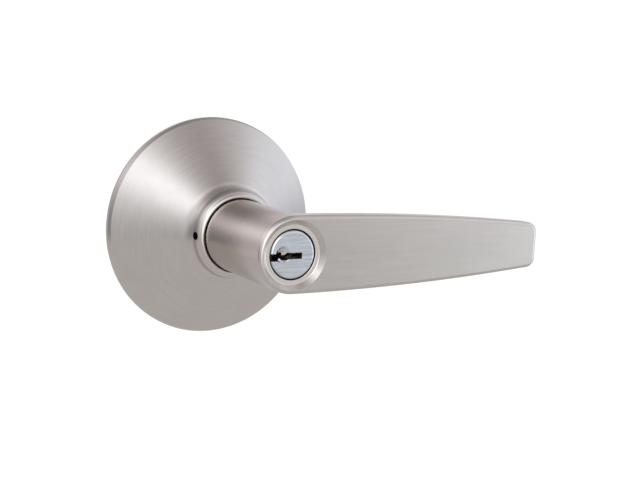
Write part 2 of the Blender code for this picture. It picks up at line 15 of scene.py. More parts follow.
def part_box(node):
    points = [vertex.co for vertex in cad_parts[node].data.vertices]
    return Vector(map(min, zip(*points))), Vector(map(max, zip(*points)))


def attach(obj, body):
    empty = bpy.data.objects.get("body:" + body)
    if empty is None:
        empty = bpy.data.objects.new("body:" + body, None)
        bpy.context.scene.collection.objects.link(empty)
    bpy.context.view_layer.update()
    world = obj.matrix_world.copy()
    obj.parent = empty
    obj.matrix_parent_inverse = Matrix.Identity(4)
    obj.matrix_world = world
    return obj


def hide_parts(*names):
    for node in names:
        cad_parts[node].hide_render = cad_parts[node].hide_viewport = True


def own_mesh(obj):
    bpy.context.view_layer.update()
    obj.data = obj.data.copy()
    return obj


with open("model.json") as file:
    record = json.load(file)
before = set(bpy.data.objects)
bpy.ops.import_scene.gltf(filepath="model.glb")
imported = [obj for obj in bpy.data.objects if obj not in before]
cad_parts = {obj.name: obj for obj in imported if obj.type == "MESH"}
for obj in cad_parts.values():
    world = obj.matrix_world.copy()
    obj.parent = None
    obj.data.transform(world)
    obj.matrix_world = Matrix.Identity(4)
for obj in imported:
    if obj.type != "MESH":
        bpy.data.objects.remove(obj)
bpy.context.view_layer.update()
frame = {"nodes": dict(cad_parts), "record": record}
MM = 0.001


def box_mm(node):
    """Low and high corner of a CAD node's box, in millimetres."""
    low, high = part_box(node)
    return Vector(low) / MM, Vector(high) / MM


def extent(node):
    """Reach towards +X, rear and front of a CAD node."""
    low, high = box_mm(node)
    return high.x, -high.y, -low.y


# ---------------------------------------------------------------- sizes taken from the CAD model
TIP, FOOT, FRONT = extent("lever")
NECK = box_mm("lever")[1].z
ROSE, _, COLLAR_OUT = extent("rose")
FACE, PLUG_REAR, PLUG_FACE = extent("plug")
_, SHELL_REAR, SHELL_FRONT = extent("cylinder_shell")
CATCH_OUT = sum(extent("catch_plunger")[1:]) / 2

# Lever, measured from its front face and its axis
RING_OUT = FRONT - 1.79  # flat ring round the plug
RING_OPENING = 9.28
RING_EDGE = 10.9  # where the ring meets the countersink
SINK_EDGE = 12.7  # where the countersink meets the front face
LIP = 1.5  # depth of the ring's opening
BACK = FRONT - 7.2  # rear face of the blade
TAPER = 2130.0  # the blade's half width falls by x * x / TAPER
CORNER = 4.0  # at the tip, seen from the front
EDGE = 1.4  # rounding along the blade's edges
FILLET = 5.0  # between the blade's rear face and the neck
TUBE_BORE = 11.3
CYLINDER_BORE = 10.3
BORE_STEP = 45.0

# Round the lever
COLLAR = 17.2
COLLAR_WALL = (-20.0, -13.0)  # along X, through the collar and its liner
PIN_HOLE = 1.6
NECK_GAP = 0.4
RIVET_ANGLES = np.radians((90.0, 210.0, 330.0))
PIN_NUMBERS = range(1, 6)

scene = bpy.context.scene
scene.view_settings.view_transform = "Standard"
scene.view_settings.look = "None"


# ---------------------------------------------------------------- profiles and meshes
def rounded(corners, steps=6, support=0.12):
    """Closed outline with each corner (u, v, radius) filleted and short supports beside each arc."""
    count = len(corners)
    spots = [np.array(c[:2], float) for c in corners]
    arcs = []
    for i, corner in enumerate(corners):
        here, before, after = spots[i], spots[i - 1], spots[(i + 1) % count]
        u, v = before - here, after - here
        nu, nv = np.linalg.norm(u), np.linalg.norm(v)
        u, v = u / nu, v / nv
        cosine = float(np.clip(u @ v, -1, 1))
        angle = math.acos(cosine)
        radius = corner[2] if len(corner) > 2 else 0.0
        if radius <= 0 or angle > math.pi - 0.02:
            arcs.append([here])
            continue
        reach = min(radius / math.tan(angle / 2), 0.47 * min(nu, nv))
        radius = reach * math.tan(angle / 2)
        middle = here + (u + v) / np.linalg.norm(u + v) * radius / math.sin(angle / 2)
        start, end = here + u * reach - middle, here + v * reach - middle
        sweep = math.pi - angle
        arcs.append([
            middle + (start * math.sin((1 - t) * sweep) + end * math.sin(t * sweep)) / math.sin(sweep)
            for t in np.linspace(0, 1, steps + 1)
        ])
    outline = []
    for i, points in enumerate(arcs):
        outline += points
        here, there = points[-1], arcs[(i + 1) % count][0]
        gap = np.linalg.norm(there - here)
        if gap > 5 * support:
            way = (there - here) / gap
            if len(points) > 1:
                outline.append(here + way * support)
            if len(arcs[(i + 1) % count]) > 1:
                outline.append(there - way * support)
    return [tuple(p) for p in outline]


def bridged(loops, closed=True):
    """Vertices and quads from rings of equal length; closed joins the last ring to the first."""
    rows, size = len(loops), len(loops[0])
    places = np.concatenate([np.asarray(loop, float) for loop in loops])
    faces = []
    for r in range(rows if closed else rows - 1):
        s = (r + 1) % rows
        for i in range(size):
            j = (i + 1) % size
            faces.append((r * size + i, r * size + j, s * size + j, s * size + i))
    if not closed:
        faces.append(tuple(range(size))[::-1])
        faces.append(tuple((rows - 1) * size + i for i in range(size)))
    return places, faces


def lathed(profile, sides=160, center=(0.0, 0.0)):
    """Body turned about a line along Y from an outline of (radius, out)."""
    turn = np.linspace(0, 2 * math.pi, sides, endpoint=False)
    cosines, sines = np.cos(turn), np.sin(turn)
    places, rings = [], []
    for radius, out in profile:
        first = len(places)
        if radius < 1e-6:
            places.append((center[0], -out, center[1]))
            rings.append([first] * sides)
        else:
            places += [(center[0] + radius * c, -out, center[1] + radius * s)
                       for c, s in zip(cosines, sines)]
            rings.append(list(range(first, first + sides)))
    faces = []
    for here, there in zip(rings, rings[1:] + rings[:1]):
        if here[0] == here[1] and there[0] == there[1]:
            continue
        for i in range(sides):
            j = (i + 1) % sides
            faces.append(tuple(dict.fromkeys((here[i], here[j], there[j], there[i]))))
    return places, faces


def lathed_x(profile, out, sides=48):
    """Body turned about a line along X from an outline of (radius, x)."""
    places, faces = lathed([(radius, -x) for radius, x in profile], sides)
    return [(along, -(out + a), b) for a, along, b in places], faces


def rod(radius, start, end):
    """Outline of a plain round rod, for lathed and lathed_x."""
    return [(0, start), (radius, start), (radius, end), (0, end)]


def washer(inner, outer, rear, front, breaks, steps=4):
    """Outline of a ring; breaks are its edge radii, from the inner rear edge round by the outside."""
    spots = ((inner, rear), (outer, rear), (outer, front), (inner, front))
    return rounded([(*spot, radius) for spot, radius in zip(spots, breaks)], steps)


def rectangle(x, z):
    return [(x[0], z[0]), (x[1], z[0]), (x[1], z[1]), (x[0], z[1])]


def extruded(outline, low, high):
    """Straight body along Y between two distances in front of the door, from an outline of (x, z)."""
    loops = [[(x, -out, z) for x, z in outline] for out in (low, high)]
    return bridged(loops, closed=False)


def box(x, out, z):
    """Block between two values along each of X, out and Z."""
    return extruded(rectangle(x, z), *out)


def arc(center, radius, start, end, steps):
    """Points along part of a circle, between two angles in degrees."""
    turn = [math.radians(start + (end - start) * i / steps) for i in range(steps + 1)]
    return [(center[0] + radius * math.cos(a), center[1] + radius * math.sin(a)) for a in turn]


def raw_object(name, shape):
    """Object from vertices in millimetres and faces, with its normals turned outwards."""
    places, faces = shape
    mesh = bpy.data.meshes.new(name)
    mesh.from_pydata([tuple(np.array(p) * MM) for p in places], [], faces)
    edit = bmesh.new()
    edit.from_mesh(mesh)
    bmesh.ops.recalc_face_normals(edit, faces=edit.faces)
    edit.to_mesh(mesh)
    edit.free()
    made = bpy.data.objects.new(name, mesh)
    scene.collection.objects.link(made)
    return made


def settle(obj):
    """Turn an object's modifiers into its own mesh."""
    graph = bpy.context.evaluated_depsgraph_get()
    made = bpy.data.meshes.new_from_object(obj.evaluated_get(graph))
    old = obj.data
    obj.modifiers.clear()
    obj.data = made
    bpy.data.meshes.remove(old)


def carve(obj, *shapes, operation="DIFFERENCE"):
    """Cut shapes away from an object, or join them to it, exactly."""
    for shape in shapes:
        tool = raw_object(f"{obj.name}_tool", shape)
        step = obj.modifiers.new("cut", "BOOLEAN")
        step.operation = operation
        step.solver = "EXACT"
        step.object = tool
        settle(obj)
        bpy.data.objects.remove(tool, do_unlink=True)


def soften(obj, width, angle):
    """Round an object's sharper edges with a narrow bevel."""
    step = obj.modifiers.new("soft_edges", "BEVEL")
    step.width = width * MM
    step.segments = 2
    step.limit_method = "ANGLE"
    step.angle_limit = math.radians(angle)
    step.use_clamp_overlap = True


def piece(name, shape, finish, slot, body, *nodes, cuts=(), joins=(), bevel=0.0, sharp=40):
    """A finished piece: its mesh, material and body, and the CAD nodes that it stands for; slot is not
    used.
    """
    made = raw_object(name, shape)
    carve(made, *joins, operation="UNION")
    carve(made, *cuts)
    if bevel:
        soften(made, bevel, 38)
        settle(made)
    made.data.materials.clear()
    made.data.materials.append(finish)
    made.data.shade_smooth()
    made.data.set_sharp_from_angle(angle=math.radians(sharp))
    step = made.modifiers.new("flat_faces_first", "WEIGHTED_NORMAL")
    step.keep_sharp = True
    settle(made)
    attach(made, body)
    if nodes:
        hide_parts(*nodes)
    return made


# ---------------------------------------------------------------- materials
def feed(tree, socket, value):
    """Link a socket to another node's output, or set it to a plain value."""
    if isinstance(value, bpy.types.NodeSocket):
        tree.links.new(value, socket)
    else:
        socket.default_value = value


class Recipe:
    """Node tree of one material, built link by link."""

    def __init__(self, name):
        self.material = bpy.data.materials.new(name)
        self.material.use_nodes = True
        self.tree = self.material.node_tree
        self.shader = self.tree.nodes["Principled BSDF"]
        self.coords = self.add("ShaderNodeTexCoord").outputs["Object"]

    def add(self, kind, *values, **settings):
        """A node with some settings, its first sockets fed with values."""
        node = self.tree.nodes.new(kind)
        for key, value in settings.items():
            setattr(node, key, value)
        for socket, value in zip(node.inputs, values):
            self.feed(socket, value)
        return node

    def feed(self, socket, value):
        feed(self.tree, socket, value)

    def math(self, operation, *values):
        return self.add("ShaderNodeMath", *values, operation=operation).outputs[0]

    def vector(self, x, y, z):
        return self.add("ShaderNodeCombineXYZ", x, y, z).outputs[0]

    def vector_math(self, operation, *values):
        return self.add("ShaderNodeVectorMath", *values, operation=operation)

    def length(self, vector):
        return self.vector_math("LENGTH", vector).outputs["Value"]

    def noise(self, vector, scale=1.0, detail=3.0, w=None):
        """Noise in three dimensions, or in four where w is given."""
        node = self.add("ShaderNodeTexNoise", noise_dimensions="4D" if w is not None else "3D")
        self.feed(node.inputs["Vector"], vector)
        if w is not None:
            self.feed(node.inputs["W"], w)
        node.inputs["Scale"].default_value = scale
        node.inputs["Detail"].default_value = detail
        node.inputs["Roughness"].default_value = 0.55
        return node.outputs["Fac"]

    def ranged(self, value, start, end, low=0.0, high=1.0, curve="LINEAR"):
        """A value between start and end, laid onto low to high."""
        node = self.add("ShaderNodeMapRange", interpolation_type=curve)
        sockets = ("Value", "From Min", "From Max", "To Min", "To Max")
        for socket, number in zip(sockets, (value, start, end, low, high)):
            self.feed(node.inputs[socket], number)
        return node.outputs["Result"]

    def spread(self, noise, low, high):
        """A noise, which seldom leaves 0.3 to 0.7, onto a range."""
        return self.ranged(noise, 0.3, 0.7, low, high, curve="SMOOTHSTEP")

    def blend(self, share, a, b):
        """A colour between two, each a tuple or a socket."""
        node = self.add("ShaderNodeMix", share, data_type="RGBA")
        self.feed(node.inputs[6], (*a, 1.0) if isinstance(a, tuple) else a)
        self.feed(node.inputs[7], (*b, 1.0) if isinstance(b, tuple) else b)
        return node.outputs[2]

    def bump(self, height, strength):
        node = self.add("ShaderNodeBump")
        self.feed(node.inputs["Height"], height)
        node.inputs["Strength"].default_value = strength
        node.inputs["Distance"].default_value = BUMP_HEIGHT * MM
        self.feed(self.shader.inputs["Normal"], node.outputs["Normal"])

    def around(self, fine, slow):
        """Lines that run round the spindle axis: noise over radius and depth, slow along the turn."""
        x, y, z = self.add("ShaderNodeSeparateXYZ", self.coords).outputs
        radius = self.math("MAXIMUM", self.length(self.vector(x, 0.0, z)), 1e-5)
        cosine, sine = self.math("DIVIDE", x, radius), self.math("DIVIDE", z, radius)
        place = self.vector(self.math("MULTIPLY", radius, fine), self.math("MULTIPLY", y, fine),
                            self.math("MULTIPLY", cosine, slow))
        return self.noise(place, w=self.math("MULTIPLY", sine, slow), detail=4.0), radius

    def along(self, scales):
        """Straight lines, from a noise that is squeezed by a scale for each direction."""
        node = self.add("ShaderNodeMapping")
        self.feed(node.inputs["Vector"], self.coords)
        node.inputs["Scale"].default_value = scales
        return self.noise(node.outputs[0], detail=4.0)


def tone(color, factor):
    return tuple(c * factor for c in color)


# Brightness of cloudy and worn places, the painted highlight on the ring round the plug and the
# painted shade in the pin hole, as factors on a metal's colour
CLOUD_TONE, WORN_TONE, RING_HIGHLIGHT_TONE, HOLE_SHADE_TONE = 0.94, 1.12, 1.24, 0.03
# Pointiness at which an edge starts to look worn, and at which it is fully worn
PLAIN_EDGE, WORN_EDGE = 0.52, 0.62
# The painted shade at a hole is a ball drawn out along X, by these factors on the distances
HOLE_SHADE_SHAPE = (0.25, 1.0, 1.0)
BLADE_GRAIN = 55.0
BUMP_HEIGHT = 0.02


def metal(name, color, roughness, lines="around", grain=(3400.0, 5.0), tint=0.03, polish=0.1,
          relief=0.06, anisotropy=0.0, wear=0.25, hole=None):
    """Brushed or plated metal: lines, cloudy handling marks and slightly brighter worn edges.

    lines is "around" for lines round the spindle axis, "lever" for lines that turn from there into
    straight ones along the blade, or three scales for straight lines. hole is the middle and radius
    in metres of a small side hole whose walls get painted shade: they are painted near black.
    """
    recipe = Recipe(name)
    shader = recipe.shader
    if lines == "around":
        streak, _ = recipe.around(*grain)
    elif lines == "lever":
        ringed, radius = recipe.around(*grain)
        straight = recipe.along((BLADE_GRAIN, grain[0], grain[0]))
        share = recipe.ranged(radius, (NECK - 0.9) * MM, (NECK + 4.0) * MM)
        mixer = recipe.add("ShaderNodeMix", share, data_type="FLOAT")
        recipe.feed(mixer.inputs[2], ringed)
        recipe.feed(mixer.inputs[3], straight)
        streak = mixer.outputs[0]
    else:
        streak = recipe.along(lines)
    cloud = recipe.noise(recipe.coords, scale=75.0)
    fleck = recipe.noise(recipe.coords, scale=1400.0, detail=2.0)
    shade = recipe.blend(recipe.spread(streak, 0.0, 1.0), tone(color, 1 - tint), tone(color, 1 + tint))
    shade = recipe.blend(recipe.spread(cloud, 0.0, 0.5), shade, tone(color, CLOUD_TONE))
    edge = recipe.add("ShaderNodeNewGeometry").outputs["Pointiness"]
    worn = recipe.ranged(edge, PLAIN_EDGE, WORN_EDGE, high=wear)
    shade = recipe.blend(worn, shade, tone(color, WORN_TONE))
    if lines == "lever":
        # Painted highlight: the flat ring round the plug is painted brighter than the rest of the
        # casting.
        ring = recipe.ranged(radius, (RING_EDGE + 0.15) * MM, (RING_EDGE - 0.15) * MM)
        shade = recipe.blend(ring, shade, tone(color, RING_HIGHLIGHT_TONE))
    # Painted shade: inside the hole the colour is painted near black, standing in for the shade there.
    if hole:
        middle, hole_radius = hole
        offset = recipe.vector_math("SUBTRACT", recipe.coords, middle).outputs[0]
        offset = recipe.vector_math("MULTIPLY", offset, HOLE_SHADE_SHAPE).outputs[0]
        inside = recipe.math("LESS_THAN", recipe.length(offset), hole_radius)
        shade = recipe.blend(inside, shade, tone(color, HOLE_SHADE_TONE))
    recipe.feed(shader.inputs["Base Color"], shade)
    rough = recipe.math("MULTIPLY", recipe.spread(streak, 1 - polish, 1 + polish), roughness)
    rough = recipe.math("MULTIPLY", rough, recipe.spread(cloud, 0.92, 1.08))
    rough = recipe.math("MULTIPLY", rough, recipe.spread(fleck, 0.98, 1.02))
    recipe.feed(shader.inputs["Roughness"], rough)
    shader.inputs["Metallic"].default_value = 1.0
    if anisotropy:
        shader.inputs["Anisotropic"].default_value = anisotropy
        tangent = recipe.add("ShaderNodeTangent", direction_type="RADIAL", axis="Y")
        recipe.feed(shader.inputs["Tangent"], tangent.outputs[0])
    recipe.bump(streak, relief)
    return recipe.material


def moulded(name, color, roughness):
    """Moulded plastic with a fine matt texture."""
    recipe = Recipe(name)
    fine = recipe.noise(recipe.coords, scale=2200.0)
    broad = recipe.noise(recipe.coords, scale=160.0)
    recipe.feed(recipe.shader.inputs["Base Color"],
                recipe.blend(recipe.spread(broad, 0.0, 1.0), tone(color, 0.85), tone(color, 1.15)))
    recipe.feed(recipe.shader.inputs["Roughness"],
                recipe.math("MULTIPLY", recipe.spread(fine, 0.85, 1.15), roughness))
    recipe.bump(fine, 0.3)
    return recipe.material


NICKEL = (0.63, 0.575, 0.54)
# The rose's pin hole gets painted shade: its walls are painted near black.
ROSE_FINISH = metal("rose_satin_nickel", NICKEL, 0.23, anisotropy=0.25, grain=(1500.0, 4.0),
                    polish=0.08, relief=0.05,
                    hole=((-0.0165, -CATCH_OUT * MM, 0.0), (PIN_HOLE + 0.04) * MM))
LEVER_FINISH = metal("lever_satin_nickel", NICKEL, 0.23, lines="lever", anisotropy=0.15,
                     grain=(1500.0, 4.0), tint=0.018, polish=0.06, relief=0.03)
PLUG_FINISH = metal("plug_satin_nickel", (0.67, 0.69, 0.73), 0.24, lines=(60.0, 1200.0, 1200.0),
                    tint=0.10, relief=0.10)
ZINC_FINISH = metal("zinc_plated_steel", (0.60, 0.61, 0.62), 0.36, grain=(1800.0, 9.0), tint=0.05)
SPRING_FINISH = metal("oiled_spring_steel", (0.30, 0.30, 0.31), 0.34, lines=(900.0, 900.0, 900.0))
BRASS_FINISH = metal("turned_brass", (0.66, 0.49, 0.29), 0.32)
WARD_FINISH = metal("worn_ward", (0.60, 0.51, 0.42), 0.28, wear=0.4)
# Painted shade: the cylinder shell is near black so the gap round the plug looks dark.
SHADED_BRASS = metal("brass_painted_shade", (0.035, 0.027, 0.018), 0.55, tint=0.1, wear=0.1)
# Painted shade: the catch plunger, seen through the pin hole, is near black so the hole looks dark.
SHADE_BLACK_STEEL = metal("steel_painted_shade", (0.004, 0.004, 0.004), 0.75, tint=0.1, wear=0.0)
BRONZE_FINISH = metal("sintered_bronze", (0.52, 0.34, 0.19), 0.45, tint=0.12, relief=0.2)
BLACK_NYLON = moulded("black_nylon", (0.018, 0.018, 0.018), 0.5)
WHITE_NYLON = moulded("white_nylon", (0.72, 0.71, 0.67), 0.5)

FINISH_OF_SLOT = {
    "satin_nickel": ROSE_FINISH, "plug_nickel": PLUG_FINISH, "zinc_steel": ZINC_FINISH,
    "spring_steel": SPRING_FINISH, "brass": BRASS_FINISH, "bronze": BRONZE_FINISH,
    "black_nylon": BLACK_NYLON, "white_nylon": WHITE_NYLON,
}
# Both nodes carry painted shade: near-black colours where the gap round the plug and the pin hole lie
# in shade.
FINISH_OF_NODE = {"cylinder_shell": SHADED_BRASS, "catch_plunger": SHADE_BLACK_STEEL}


def finish_nodes():
    """Give every CAD node its finished material and softened edges."""
    slots = {part["node"]: part["material_slot"] for part in frame["record"]["subparts"]}
    for name, slot in slots.items():
        node = frame["nodes"][name]
        node.data.materials.clear()
        node.data.materials.append(FINISH_OF_NODE.get(name, FINISH_OF_SLOT[slot]))
        if not name.startswith(("pin_spring", "return_spring")):
            soften(node, 0.15, 40)


# ---------------------------------------------------------------- rose
def catch_bore(radius, start, end, sides=40):
    """Hole in line with the catch, between two places along X."""
    return lathed_x(rod(radius, start, end), CATCH_OUT, sides)


def rose():
    """Spun cover: rim, cone, a hollow sweep up to the collar and the collar's rounded lip."""
    rim_out, foot_r, foot_out, cone_r, cone_out = 2.0, ROSE - 0.75, 3.8, 19.2, 20.4
    lip, sweep_r, wall, opening, ledge = 2.55, 7.0, 1.3, 14.65, COLLAR_OUT - 1.2
    inner, bore, bore_rear, throat = ROSE - wall, 16.0, 21.4, 18.4
    slope = (cone_out - foot_out) / (foot_r - cone_r)
    stretch = math.hypot(1.0, slope)

    def outside(radius):
        return foot_out + (foot_r - radius) * slope

    def inside(radius):
        return outside(radius) - wall * stretch

    sweep_x = COLLAR + sweep_r
    sweep = arc((sweep_x, outside(sweep_x) + sweep_r * stretch), sweep_r,
                270 - math.degrees(math.atan(slope)), 180, 14)
    rounding = arc((COLLAR - lip, COLLAR_OUT - lip), lip, 0, 84, 14)
    outline = rounded([
        (inner, 0.0, 0.25), (ROSE, 0.0, 0.35), (ROSE, rim_out, 0.4), (foot_r, foot_out, 0.4),
        *sweep, *rounding, (opening, COLLAR_OUT - 0.12), (opening, ledge, 0.2), (bore, ledge, 0.2),
        (bore, bore_rear, 0.6), (throat, inside(throat), 1.5), (inner, inside(inner), 0.3)], 8)
    piece("rose_cover", lathed(outline, 288), ROSE_FINISH, "satin_nickel", "door_side", "rose",
          cuts=[catch_bore(PIN_HOLE, *COLLAR_WALL)], sharp=50)


def bushing():
    """Black ring between the collar and the neck."""
    outer, rear, front = extent("collar_bushing")
    shape = lathed(washer(NECK + NECK_GAP, outer, rear, front, (0.3, 0.3, 0.4, 0.4), 6), 160)
    piece("collar_liner", shape, BLACK_NYLON, "black_nylon", "door_side", "collar_bushing",
          cuts=[catch_bore(1.8, *COLLAR_WALL)])


# ---------------------------------------------------------------- lever
def half_width(x):
    """Half the blade's height at a distance from the spindle axis."""
    return NECK - x * x / TAPER


def lever_outline():
    """Edge seen from the front with the outward way at each point, round the hub and the blade."""
    corner_x = TIP - CORNER
    hub = arc((0, 0), NECK, 180, 90, 56)[:-1]
    shares = np.linspace(0, 1, 84) ** 1.25
    edge = [(x, half_width(x)) for x in corner_x * shares][:-1]
    corner = arc((corner_x, half_width(corner_x) - CORNER), CORNER, 88, 0, 16)
    end = [(TIP, corner[-1][1] * s) for s in (0.75, 0.5, 0.25)]
    upper = hub + edge + corner + end
    outline = upper + [(TIP, 0.0)] + [(x, -z) for x, z in reversed(upper[1:])]
    spots = np.array(outline)
    along = np.roll(spots, -1, 0) - np.roll(spots, 1, 0)
    along /= np.linalg.norm(along, axis=1)[:, None]
    return spots, np.stack([-along[:, 1], along[:, 0]], 1)


def lever():
    """One casting, bridged ring by ring: countersunk face, blade's edge and back, neck, bores."""
    spots, ways = lever_outline()
    reach = np.linalg.norm(spots, axis=1)
    rays = spots / reach[:, None]
    spread = np.maximum(0.0, reach - NECK)
    rings = []

    def ring(places, out):
        rings.append([(x, -out, z) for x, z in places])

    def around(radius, out):
        ring(rays * radius, out)

    front = rounded([
        (RING_OPENING, RING_OUT - LIP, 0), (RING_OPENING, RING_OUT, 0.2), (RING_EDGE, RING_OUT, 0.5),
        (SINK_EDGE, FRONT, 0.08), (NECK - EDGE, FRONT, 0)], 5, support=0.02)
    for radius, out in front[:-1]:
        if radius < SINK_EDGE + 0.05:
            around(radius, out)
    around(SINK_EDGE + 0.06, FRONT)
    quarter = np.radians(np.linspace(0, 90, 10))
    ring(spots - ways * (EDGE + 0.02), FRONT)
    for a in quarter:
        ring(spots - ways * EDGE * (1 - math.sin(a)), FRONT - EDGE * (1 - math.cos(a)))
    for share in (0.04, 0.5, 0.96):
        ring(spots, FRONT - EDGE - (FRONT - BACK - 2 * EDGE) * share)
    for a in quarter:
        inset = np.minimum(EDGE, spread / 3) * (1 - math.cos(a))
        ring(spots - ways * inset[:, None], BACK + EDGE * (1 - math.sin(a)))
    fillet = np.minimum(FILLET, spread / 2)
    for a in np.radians(np.linspace(6, 90, 13)):
        radius = NECK + fillet * (1 - math.sin(a))
        ring(rays * radius[:, None], BACK - FILLET * (1 - math.cos(a)))
    for share in np.linspace(0, 1, 16)[1:]:
        around(NECK, (BACK - FILLET) + (FOOT + 0.5 - BACK + FILLET) * share)
    inside = rounded([
        (NECK, FOOT + 0.6, 0), (NECK, FOOT, 0.4), (TUBE_BORE, FOOT, 0.3), (TUBE_BORE, BORE_STEP, 0),
        (CYLINDER_BORE, BORE_STEP, 0), (CYLINDER_BORE, RING_OUT - LIP, 0)], 4)
    for radius, out in inside[2:]:
        around(radius, out)

    slot_half, slot_reach = 3.7, (5.0, 12.6)
    slot = box(slot_reach, (FOOT - 2, SHELL_FRONT + 0.1), (-slot_half, slot_half))
    hole = catch_bore(2.3, -NECK - 2, -TUBE_BORE + 2, 48)
    rib_half, rib_out, rib_reach = 1.5, (36.0, 44.0), (9.7, 12.3)
    ribs = [box((-rib_half, rib_half), rib_out, sorted(side * z for z in rib_reach))
            for side in (-1, 1)]
    piece("lever_arm", bridged(rings), LEVER_FINISH, "satin_nickel", "lever_side", "lever",
          cuts=[slot, hole], joins=ribs, sharp=50)


# ---------------------------------------------------------------- key plug
# Mouth of the keyway as (x, z), open at the plug's -X side: its lower edge, then its upper edge
KEYWAY = (
    (-9.5, -2.2), (-6.0, -2.2), (-5.4, -1.3), (-4.7, -1.3), (-4.3, -2.0), (-2.3, -2.0), (-1.4, -1.55),
    (3.7, -1.55), (3.7, 0.75), (-1.9, 0.75), (-2.6, 0.1), (-3.6, -0.1), (-4.2, 0.9), (-5.6, 0.9),
    (-6.4, 0.5), (-9.5, 0.5),
)


def pin_place(number):
    """Distance of a pin's axis in front of the door, and the pin's radius."""
    low, high = box_mm(f"key_pin_{number}")
    return -(low.y + high.y) / 2, (high.y - low.y) / 2


def plug():
    """Key plug with its keyway, the bowl round the keyway's middle and the chambers of the pins."""
    flange_rear, body_r, thread_r, edge = 69.5, 6.5, 5.5, 0.8
    shoulder = SHELL_REAR - 0.3
    outline = rounded([
        (0, PLUG_REAR), (thread_r, PLUG_REAR, 0.3), (thread_r, shoulder, 0), (body_r, shoulder, 0.2),
        (body_r, flange_rear, 0), (FACE, flange_rear, 0.15), (FACE, PLUG_FACE, edge),
        (0, PLUG_FACE)], 8)
    keyway_rear = 47.0
    keyway = extruded(KEYWAY, keyway_rear, PLUG_FACE + 2)
    depth, mouth, spot = 1.4, 3.0, (-3.9, 0.0)
    ball = (mouth ** 2 + depth ** 2) / (2 * depth)
    bowl = arc((0, PLUG_FACE - depth + ball), ball, -90, 0, 24)
    dimple = lathed([(0, PLUG_FACE - depth)] + bowl[1:] + [(0, bowl[-1][1])], 96, spot)
    chamber = rod(1.6, 0.4, body_r + 2)
    chambers = [lathed_x(chamber, pin_place(number)[0], 32) for number in PIN_NUMBERS]
    piece("key_plug", lathed(outline, 128), PLUG_FINISH, "plug_nickel", "key_side", "plug",
          cuts=[dimple, keyway] + chambers, bevel=0.07)


def ward_tip():
    """Bare brass end of the upper ward, which stands in the bowl round the keyway."""
    corner, rear, front = 0.2, PLUG_FACE - 4.0, PLUG_FACE - 0.7
    outline = rounded([(*spot, corner) for spot in rectangle((-4.3, -3.0), (-0.1, 1.0))], 3)
    piece("keyway_ward", extruded(outline, rear, front), WARD_FINISH, "brass", "key_side", bevel=0.1)


# ---------------------------------------------------------------- springs and pins
def tube_along(places, radius, sides=12):
    """Round wire with closed ends along a list of (x, out, z)."""
    path = np.array([(x, -out, z) for x, out, z in places])
    ways = np.gradient(path, axis=0)
    ways /= np.linalg.norm(ways, axis=1)[:, None]
    side = np.cross(ways[0], (0.3, 0.9, 0.2))
    turn = np.linspace(0, 2 * math.pi, sides, endpoint=False)[:, None]
    loops = []
    for spot, way in zip(path, ways):
        side = side - way * (side @ way)
        side /= np.linalg.norm(side)
        loops.append(spot + radius * (np.cos(turn) * side + np.sin(turn) * np.cross(way, side)))
    return bridged(loops, closed=False)


def return_spring():
    """Three coils round the sleeve; the legs bend out of the coil to either side of the tab."""
    radius, wire, low, high, turns, reach, leg_z = 16.4, 0.88, 4.7, 11.0, 3, 25.0, 3.85
    start = math.atan2(-leg_z, -radius) % (2 * math.pi)
    end = math.atan2(leg_z, -radius) + 2 * math.pi * turns
    coil = []
    for share in np.linspace(0, 1, 56 * turns):
        angle = start + (end - start) * share
        coil.append((radius * math.cos(angle), low + (high - low) * share, radius * math.sin(angle)))
    legs = [[(-reach + (reach - radius) * t, out, z) for t in (0, 0.05, 0.5, 0.9)]
            for out, z in ((low, -leg_z), (high, leg_z))]
    piece("coil_spring", tube_along(legs[0] + coil + legs[1][::-1], wire), SPRING_FINISH,
          "spring_steel", "door_side", "return_spring", sharp=60)


def pin_coil(node, out):
    """Fine coil along X between the ends of a pin spring's box."""
    low, high = box_mm(node)
    wire, coil_r, turns = 0.15, 1.0, 3
    margin = wire * 1.2
    places = []
    for share in np.linspace(0, 1, 24 * turns):
        angle = 2 * math.pi * turns * share
        places.append((low.x + margin + (high.x - low.x - 2 * margin) * share,
                       out + coil_r * math.cos(angle), coil_r * math.sin(angle)))
    return tube_along(places, wire, 8)


def pins():
    """Turned key pins and driver pins, each on its own body, and a fine coil behind each driver."""
    tip_r, tip_length, groove, groove_half, groove_end = 0.5, 0.8, 0.2, 0.3, 0.5
    for number in PIN_NUMBERS:
        out, radius = pin_place(number)
        node = f"key_pin_{number}"
        low, high = box_mm(node)
        shape = lathed_x(rounded([
            (0, low.x), (tip_r, low.x, 0.25), (radius, low.x + tip_length, 0.3),
            (radius, high.x, 0.15), (0, high.x)], 4), out, 40)
        piece(f"pin_{number}_lower", shape, BRASS_FINISH, "brass", node, node)
        node = f"driver_pin_{number}"
        low, high = box_mm(node)
        middle, waist = (low.x + high.x) / 2, radius - groove
        shape = lathed_x(rounded([
            (0, low.x), (radius, low.x, 0.15), (radius, middle - groove_end, 0.05),
            (waist, middle - groove_half, 0.1), (waist, middle + groove_half, 0.1),
            (radius, middle + groove_end, 0.05), (radius, high.x, 0.15), (0, high.x)], 4), out, 40)
        piece(f"pin_{number}_upper", shape, ZINC_FINISH, "zinc_steel", node, node)
        node = f"pin_spring_{number}"
        piece(f"pin_{number}_coil", pin_coil(node, out), SPRING_FINISH, "spring_steel", "lever_side",
              node, sharp=60)


def catch_leaf():
    """Bent strip behind the catch; on the real lock it gives as the catch is pressed."""
    low, high = box_mm("catch_spring")
    radius, half, share, end_z = 8.5, 2.5, 0.94, 4.4
    outer = arc((0, 0), radius, 25, 125, 24) + [(low.x, end_z)]
    outer += [(x, -z) for x, z in reversed(outer)]
    inner = [(x * share, z * share) for x, z in outer]
    strip = extruded(outer + inner[::-1], CATCH_OUT - half, CATCH_OUT + half)
    made = piece("catch_leaf", strip, SPRING_FINISH, "spring_steel", "lever_side", "catch_spring",
                 bevel=0.08)
    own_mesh(made)


